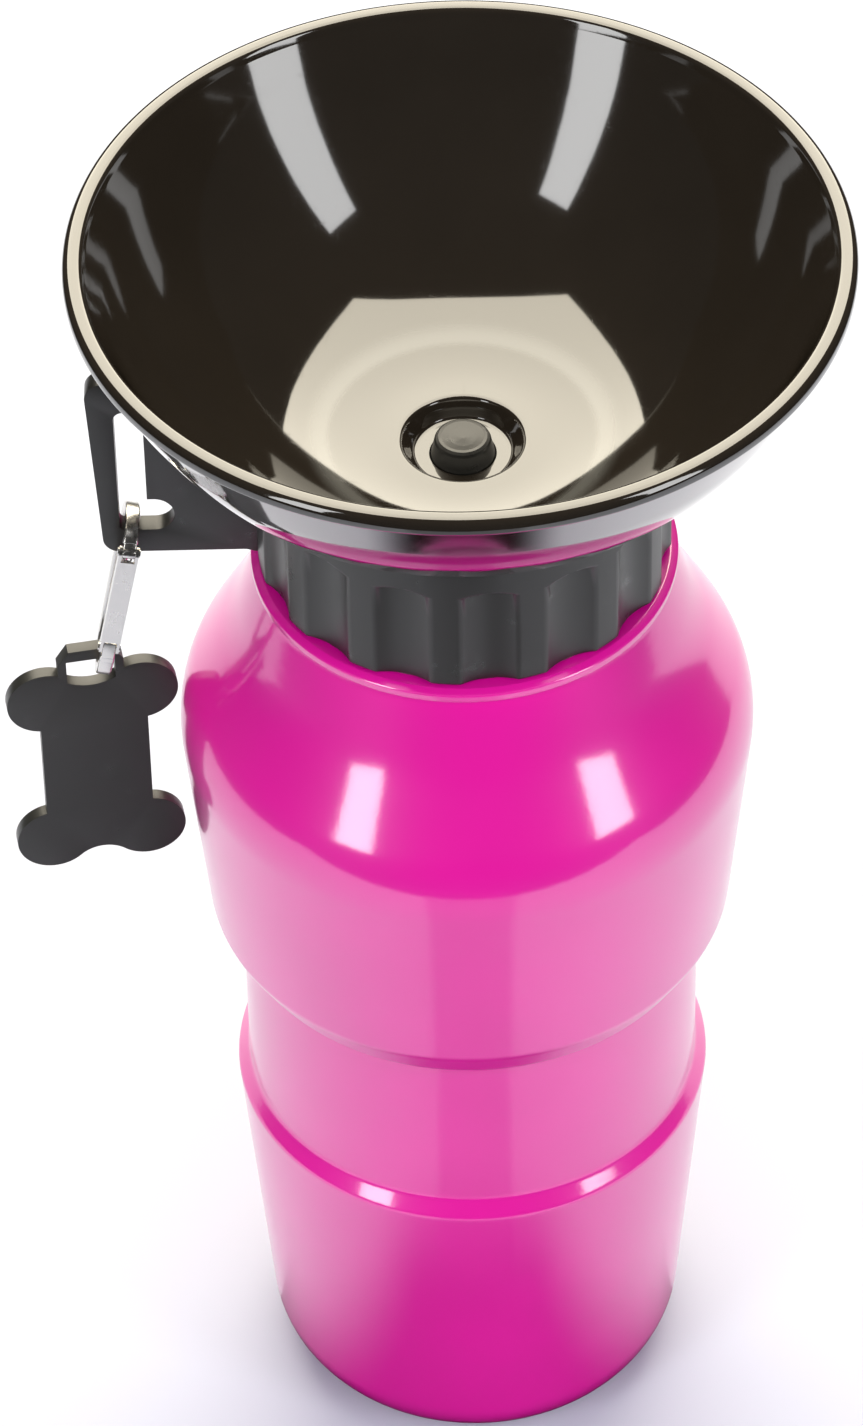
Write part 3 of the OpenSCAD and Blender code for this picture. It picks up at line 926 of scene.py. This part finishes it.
@dataclass
class DrinkingBowl:
    """The drinking bowl with its rolled rim, well, spigot and lugs. Sizes are in mm."""

    rim_r: float = 56.0
    top_z: float = 226.8
    floor_z: float = 190.8
    well_r: float = 8.9
    well_floor_z: float = 188.0
    seat_z: float = 185.4
    hole_r: float = 4.75
    spigot_r: float = 14.0
    spigot_z: float = 177.4
    spigot_bore_r: float = 11.4
    seal_z: float = 179.55
    groove: float = 0.95
    groove_r: float = 12.62
    lug_z: float = 182.1
    lug_h: float = 1.8
    lug_half_turn: float = 8.0
    lead: float = 12.0
    lugs: int = 3
    around: int = 320

    def corners(self) -> list[Corner]:
        """The outline of the bowl's wall, well and spigot."""
        rim, top, skirt = self.rim_r, self.top_z, self.spigot_r
        groove_low, groove_top = self.seal_z - self.groove, self.seal_z + self.groove
        return [
            (self.hole_r, self.seat_z + 0.6, 0), (self.hole_r, self.well_floor_z, 0.2),
            (self.well_r - 1.7, self.well_floor_z, 0.9), (self.well_r, self.floor_z, 0.9),
            (25.5, self.floor_z, 36), (45.3, 209, 62), (52.8, top - 1.4, 0.4), (53.3, top, 1),
            (rim, top, 1.3), (rim, top - 2.2, 0.6),
            (rim - 0.9, top - 3, 0.4), (47.1, 207.7, 50), (26.9, 189.8, 34), (skirt, 189, 0.8),
            (skirt, groove_top, 0), (self.groove_r, groove_top, 0),
            (self.groove_r, groove_low, 0), (skirt, groove_low, 0),
            (skirt, self.spigot_z, 0.4), (self.spigot_bore_r, self.spigot_z, 0.4),
            (self.spigot_bore_r, self.seat_z + 0.6, 1),
            (6.8, self.seat_z + 0.6, 0), (6.8, self.seat_z, 0.2), (5.8, self.seat_z, 0.2),
            (5.8, self.seat_z + 0.6, 0),
        ]

    def build(self, finish: bpy.types.Material) -> bpy.types.Object:
        """Models the bowl and its lugs.

        Args:
            finish: the bowl's material.

        Returns:
            The finished piece.
        """
        outline = with_steps(rounded_outline(self.corners()), 2.5, 0.25)
        piece = Bench.lathe("drinking_bowl", outline, self.around, ring=True)
        half = self.lug_h / 2
        section = [(self.spigot_r - 0.5, -half), (self.spigot_r + 1.25, -half),
                   (self.spigot_r + 1.25, half), (self.spigot_r - 0.5, half)]
        lug = Bench.helix("bowl_lug", section, -self.lug_half_turn, self.lug_half_turn, self.lug_z,
                          self.lead)
        lugs = [lug] + [Bench.copy_turned(lug, 360 / self.lugs * i) for i in range(1, self.lugs)]
        piece = Bench.join([piece, *lugs])
        Bench.shade(piece, Facing.ROUND)
        settle(piece, "bowl", "bowl_plastic", finish, "bowl")
        return piece


@dataclass
class SnapHook:
    """The bent steel hook that hangs in the lid's plate. Sizes are in mm."""

    place: Place = (-49.2, 0.0, 171.75)
    lean: float = 11.0
    strip_w: float = 2.2
    strip_t: float = 1.5
    top_bend_r: float = 4.4
    low_bend_r: float = 3.0
    low_w: float = -21.25
    eye_a: float = 141.0
    pivot_a: float = 155.0
    nose: float = 2.1
    eye_t: float = 1.8
    eye_r: float = 0.9
    pin_r: float = 0.44
    catch: Point = (-3.95, -17.95)
    tongue_half: float = 0.65
    tongue_top: float = 1.25
    notch_half: float = 0.5
    neck_overlap: float = 14.0

    def at(self, across: float, up: float, out: float = 0.0) -> Vector:
        """Puts a place in the hook's own plane into the object's frame.

        Args:
            across: the distance across the hook, in mm.
            up: the distance up it, in mm.
            out: the distance out of its plane, in mm.

        Returns:
            The place, in metres.
        """
        lean = math.radians(self.lean)
        x = out * math.cos(lean) + up * math.sin(lean)
        z = -out * math.sin(lean) + up * math.cos(lean)
        return Vector((self.place[0] + x, self.place[1] + across, self.place[2] + z)) * MM

    def slab(self, name: str, points: list[Point], thickness: float) -> bpy.types.Object:
        """Models a flat shape in the hook's plane, centred on it."""
        loop = [self.at(x, y, -thickness / 2) for x, y in points]
        return Bench.plate(name, [loop], self.at(0, 0, thickness) - self.at(0, 0, 0))

    def strip(self) -> list[Point]:
        """The side view of the bent strip."""
        half = self.strip_t / 2
        top, low_r = self.top_bend_r + half, self.low_bend_r + half
        rail = math.degrees(math.asin((top - low_r) / -self.low_w))
        turn, low = math.radians(rail), (0.0, self.low_w)
        side = Vector((-math.cos(turn), -math.sin(turn)))
        up = Vector((-math.sin(turn), math.cos(turn))) * self.nose
        ends = [tuple(Vector(low) + (low_r + part) * side + up) for part in (half, -half)]
        return (arc_points((0, 0), top + half, self.eye_a, -rail, ARC_STEP)
                + arc_points(low, low_r + half, -rail, rail - 180, ARC_STEP) + ends
                + arc_points(low, low_r - half, rail - 180, -rail, ARC_STEP)
                + arc_points((0, 0), top - half, -rail, self.eye_a, ARC_STEP))

    def build(self, finish: bpy.types.Material) -> bpy.types.Object:
        """Models the hook.

        Args:
            finish: the hook's material.

        Returns:
            The finished piece.
        """
        half = self.strip_t / 2 - 0.1
        top = self.top_bend_r + self.strip_t / 2
        turn = math.radians(self.pivot_a)
        pivot = (top * math.cos(turn), top * math.sin(turn))
        neck_from = self.eye_a - self.neck_overlap
        strip = self.slab("hook_body_shape", self.strip(), self.strip_w)
        Bench.soften(strip, 0.32)
        neck = self.slab("hook_neck",
                         arc_points((0, 0), top + half, neck_from, self.pivot_a, ARC_STEP)
                         + arc_points((0, 0), top - half, self.pivot_a, neck_from, ARC_STEP),
                         self.eye_t)
        eye = self.slab("hook_eye", arc_points(pivot, self.eye_r, 0, 348, 12), self.eye_t)
        low_r = self.low_bend_r + self.strip_t / 2
        rail = math.asin((top - low_r) / -self.low_w)
        tongue_low = self.low_w - low_r * math.sin(rail) + self.nose - 1.2
        x, high = self.catch
        left, right = x - self.tongue_half, x + self.tongue_half
        tongue_high = high + self.tongue_top
        tongue = self.slab("hook_tongue", [(left, tongue_low), (right, tongue_low),
                                           (right, tongue_high), (left, tongue_high)], self.eye_t)
        slack = self.notch_half
        notch = self.slab("notch", [(x - slack, high - slack), (x + 3, high - slack),
                                    (x + 3, high + slack), (x - slack, high + slack)],
                          2 * self.strip_w)
        Bench.cut(tongue, notch)
        for part in (neck, eye, tongue):
            Bench.soften(part, 0.12, 2)
        hole = self.slab("hole", arc_points(pivot, self.pin_r, 0, 348, 12), 10)
        Bench.cut(eye, hole)
        piece = Bench.join([strip, neck, eye, tongue])
        Bench.shade(piece, Facing.PLATE)
        settle(piece, "hook", "hook_metal", finish, "hook_body")
        return piece


@dataclass
class BoneTag:
    """The bone-shaped tag that hangs on the hook. Sizes are in mm."""

    place_x: float = -55.9
    yaw: float = 10.0
    thick: float = 2.0
    half_w: float = 12.9
    shaft_half: float = 8.1
    lug_half: float = 4.95
    lug_top_z: float = 150.6
    lobe_r: float = 5.7
    lobe_top_z: float = 140.8
    lobe_low_z: float = 111.9
    dip_z: float = 109.0
    hole_half: float = 3.65
    hole_top_z: float = 148.6
    hole_low_z: float = 143.4
    sill_r: float = 7.2
    lug_corner: Point = (1.7, 2.6)
    edge_r: float = 0.45

    def outline(self) -> list[Point]:
        """The bone's outline, clockwise from the left of its lug."""
        radius, lobe_x = self.lobe_r, self.half_w - self.lobe_r
        meet = math.degrees(math.acos((self.lug_half - lobe_x) / radius))
        side = math.degrees(math.acos((self.shaft_half - lobe_x) / radius))
        drop = self.lobe_low_z - self.dip_z
        dip_r = (lobe_x**2 + drop**2 - radius**2) / (2 * (radius - drop))
        foot = self.dip_z - dip_r
        lean = math.degrees(math.atan2(self.lobe_low_z - foot, lobe_x))
        right = [(0, self.lug_top_z), (self.lug_half - self.lug_corner[0], self.lug_top_z),
                 (self.lug_half, self.lug_top_z - self.lug_corner[1])]
        right += arc_points((lobe_x, self.lobe_top_z), radius, meet, -side, ARC_STEP)
        right += arc_points((lobe_x, self.lobe_low_z), radius, side, lean - 180, ARC_STEP)
        right += arc_points((0, foot), dip_r, lean, 90, ARC_STEP)
        left = [(-x, z) for x, z in reversed(right[1:-1])]
        return right + left

    def hole(self) -> list[Point]:
        """The hole's outline: a window with a bowed sill."""
        reach, bow = self.hole_half, self.sill_r
        centre = (0.0, self.hole_low_z + bow)
        end = math.degrees(math.acos(reach / bow))
        sill = arc_points(centre, bow, -end, end - 180, ARC_STEP)
        return [(-reach, self.hole_top_z), (reach, self.hole_top_z), *sill]

    def build(self, finish: bpy.types.Material) -> bpy.types.Object:
        """Models the tag.

        Args:
            finish: the tag's material.

        Returns:
            The finished piece.
        """
        turn = Matrix.Translation(Vector((self.place_x * MM, 0, 0))) @ Matrix.Rotation(
            math.radians(self.yaw), 4, "Z")
        loops = [[turn @ Vector((x * MM, -self.thick / 2 * MM, z * MM)) for x, z in loop]
                 for loop in (self.outline(), self.hole())]
        across = turn.to_3x3() @ Vector((0, self.thick * MM, 0))
        piece = Bench.plate("bone_shape", loops, across)
        Bench.soften(piece, self.edge_r, 4)
        Bench.shade(piece, Facing.PLATE)
        settle(piece, "tag", "tag_plastic", finish, "bone_tag")
        return piece


@dataclass
class InnerParts:
    """The seals, tube, post and gate, which keep their own shapes and get their finish."""

    finishes: dict[str, tuple[str, ...]] = field(default_factory=lambda: {
        "seal_rubber": ("lid_gasket", "valve_washer", "bowl_seal"),
        "tube_plastic": ("dip_tube",),
        "lid_plastic": ("valve_post",),
        "hook_metal": ("hook_gate", "gate_pins", "gate_spring"),
    })

    def dress(self, materials: dict[str, bpy.types.Material]) -> None:
        """Gives each node the material of its slot."""
        for slot, nodes in self.finishes.items():
            for name in nodes:
                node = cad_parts[name]
                for holder in node.material_slots:
                    holder.material = materials[slot]
                log.info("%s: dressed in %s", name, slot)


# ---------------------------------------------------------------- studio


@dataclass(frozen=True)
class Lamp:
    """A flat studio light: where it stands, where it faces, its size and its brightness."""

    name: str
    place: Place
    aim: Place
    width: float
    height: float
    level: float
    colour: Colour = (1.0, 1.0, 1.0)
    mirrored: bool = True

    def put(self) -> None:
        """Hangs the light, unseen by the camera."""
        light = bpy.data.lights.new(self.name, "AREA")
        light.shape = "RECTANGLE"
        light.size, light.size_y = self.width, self.height
        light.energy = self.level * math.pi * self.width * self.height
        light.color = self.colour
        lamp = bpy.data.objects.new(self.name, light)
        place = Vector(self.place)
        facing = (Vector(self.aim) - place).to_track_quat("-Z", "Y")
        lamp.matrix_world = Matrix.LocRotScale(place, facing, None)
        lamp.visible_camera = False
        lamp.visible_glossy = self.mirrored
        bpy.context.scene.collection.objects.link(lamp)


@dataclass
class Studio:
    """The pale floor, the soft lights and the camera of the photograph."""

    floor_x: float = 0.5
    floor_front: float = -0.30
    floor_back: float = 0.9
    floor_colour: Colour = (0.49, 0.525, 0.62)
    # Height over the floor of the black sheet that paints shade into reflections.
    shade_sheet_z: float = 0.0004
    eye: Place = (-0.00533, -0.74139, 0.8752)
    right: Place = (0.99978, -0.01478, -0.01480)
    up: Place = (0.02092, 0.70639, 0.70751)
    lens: float = 176.72
    box_distance: float = 0.9
    box_z: float = 0.62
    box_h: float = 0.88

    def lamps(self) -> list[Lamp]:
        """The lights, each a flat panel with even brightness."""
        return [
            self.side_box("left_box", -42, 0.22, 6.3),
            self.side_box("right_box", 53, 0.24, 5.9),
            Lamp("overhead", (0, 0.6386, 1.0056), (0, 0.1386, 0.1396), 1.2, 1.48, 6.5,
                 (1.0, 0.92, 0.75)),
            Lamp("front_fill", (0, -1.1, 1.1), (0, 0, 0.12), 2.6, 1.0, 2.85, mirrored=False),
        ]

    def side_box(self, name: str, azimuth: float, width: float, level: float) -> Lamp:
        """A tall light beside the bottle.

        Args:
            name: the light's name.
            azimuth: where it stands, in degrees, 0 in front and positive to the right.
            width: its width, in metres.
            level: its brightness.

        Returns:
            The light, facing the bottle's axis.
        """
        turn = math.radians(azimuth)
        x, y = self.box_distance * math.sin(turn), -self.box_distance * math.cos(turn)
        return Lamp(name, (x, y, self.box_z), (0, 0, self.box_z), width, self.box_h, level)

    @staticmethod
    def lay_sheet(name: str, width: float, depth: float, middle: Place) -> bpy.types.Object:
        """Lays a flat sheet.

        Args:
            name: the sheet's name.
            width: its size along X, in metres.
            depth: its size along Y, in metres.
            middle: where its middle lies, in metres.

        Returns:
            The sheet.
        """
        bpy.ops.object.select_all(action="DESELECT")
        bpy.ops.mesh.primitive_plane_add(size=1, location=middle)
        sheet = bpy.context.object
        sheet.name = sheet.data.name = name
        sheet.scale = (width, depth, 1)
        bpy.ops.object.transform_apply(location=True, rotation=True, scale=True)
        return sheet

    def lay_floor(self) -> None:
        """Lays the pale floor."""
        depth = self.floor_back - self.floor_front
        middle = (0, (self.floor_front + self.floor_back) / 2, 0)
        floor = self.lay_sheet("floor", 2 * self.floor_x, depth, middle)
        graph = Graph("floor_paper")
        tint = graph.tint(graph.grain(9, 2), self.floor_colour, 0.99, 1.01)
        floor.data.materials.append(graph.close({"Base Color": tint, "Roughness": 0.9,
                                                 "Specular IOR Level": 0.0}))

    def lay_painted_shade(self) -> None:
        """Lays a black sheet in front of the bottle, which only shows in reflections: painted shade
        for the floor's shadow round the base and for a dark lane straight ahead.
        """
        side = -self.floor_front
        card = self.lay_sheet("painted_shade_sheet", side, side, (0, self.floor_front / 2, self.shade_sheet_z))
        graph = Graph("painted_floor_shade")
        aside = graph.node("ShaderNodeMath", {"operation": "ABSOLUTE"}, {0: graph.part("X")})
        slant = graph.node("ShaderNodeMath", {"operation": "DIVIDE"},
                           {0: aside, 1: graph.part("Y") * -1.0})
        # Painted shadow of the bottle and bowl on the floor, close round the base.
        painted_base_shade = (1 - graph.band(graph.radius(), 0.058, 0.1)) * (1 - graph.band(aside, 0.022, 0.052))
        # Painted shade in a narrow lane straight ahead of the bottle.
        painted_lane_shade = (1 - graph.band(slant, 0.24, 0.31)) * 0.42
        painted_shade_cover = painted_base_shade + painted_lane_shade - painted_base_shade * painted_lane_shade
        card.data.materials.append(graph.close({"Base Color": (0, 0, 0, 1), "Roughness": 1.0,
                                                "Specular IOR Level": 0.0, "Alpha": painted_shade_cover}))
        card.visible_camera = card.visible_diffuse = card.visible_shadow = False

    def light_world(self) -> None:
        """Makes what lies beyond the floor white to the camera and dim to everything else."""
        scene = bpy.context.scene
        world = scene.world or bpy.data.worlds.new("studio")
        scene.world = world
        world.use_nodes = True
        tree = world.node_tree
        tree.nodes.clear()
        path = tree.nodes.new("ShaderNodeLightPath")
        dim, bright = (tree.nodes.new("ShaderNodeBackground") for _ in range(2))
        dim.inputs[0].default_value = (0.03, 0.03, 0.03, 1)
        bright.inputs[0].default_value = (1, 1, 1, 1)
        mix, out = tree.nodes.new("ShaderNodeMixShader"), tree.nodes.new("ShaderNodeOutputWorld")
        tree.links.new(path.outputs["Is Camera Ray"], mix.inputs[0])
        tree.links.new(dim.outputs[0], mix.inputs[1])
        tree.links.new(bright.outputs[0], mix.inputs[2])
        tree.links.new(mix.outputs[0], out.inputs[0])

    def aim_camera(self) -> None:
        """Sets the camera up at the photograph's viewing angle."""
        data = bpy.data.cameras.new("camera")
        data.lens = self.lens
        data.sensor_width = 36
        data.clip_start, data.clip_end = 0.02, 30
        camera = bpy.data.objects.new("camera", data)
        right, up = Vector(self.right).normalized(), Vector(self.up)
        back = right.cross(up).normalized()
        up = back.cross(right)
        turn = Matrix((right, up, back)).transposed().to_4x4()
        camera.matrix_world = Matrix.Translation(Vector(self.eye)) @ turn
        bpy.context.scene.collection.objects.link(camera)
        bpy.context.scene.camera = camera

    def build(self) -> None:
        """Sets up the floor, the lights, the world and the camera."""
        self.lay_floor()
        self.lay_painted_shade()
        for lamp in self.lamps():
            lamp.put()
        self.light_world()
        self.aim_camera()
        bpy.context.scene.view_settings.view_transform = "Standard"
        log.info("studio: %d lights", len(self.lamps()))


# ---------------------------------------------------------------- the whole


def main() -> None:
    """Builds every piece in order and reports each one."""
    logging.basicConfig(level=logging.INFO, format="%(message)s")
    finishes = (SqueezeWall(), PolishedBowl(), PlatedSteel(), SoftSeal(), MilkyTube(),
                SatinMoulding("lid_plastic", (0.013, 0.0127, 0.0117), gloss=0.3),
                SatinMoulding("tag_plastic", (0.016, 0.016, 0.0148), gloss=0.32))
    materials = {finish.name: finish.material() for finish in finishes}
    Bottle().build(materials["bottle_plastic"])
    ScrewLid().build(materials["lid_plastic"])
    DrinkingBowl().build(materials["bowl_plastic"])
    SnapHook().build(materials["hook_metal"])
    BoneTag().build(materials["tag_plastic"])
    InnerParts().dress(materials)
    Studio().build()


if __name__ == "__main__":
    main()
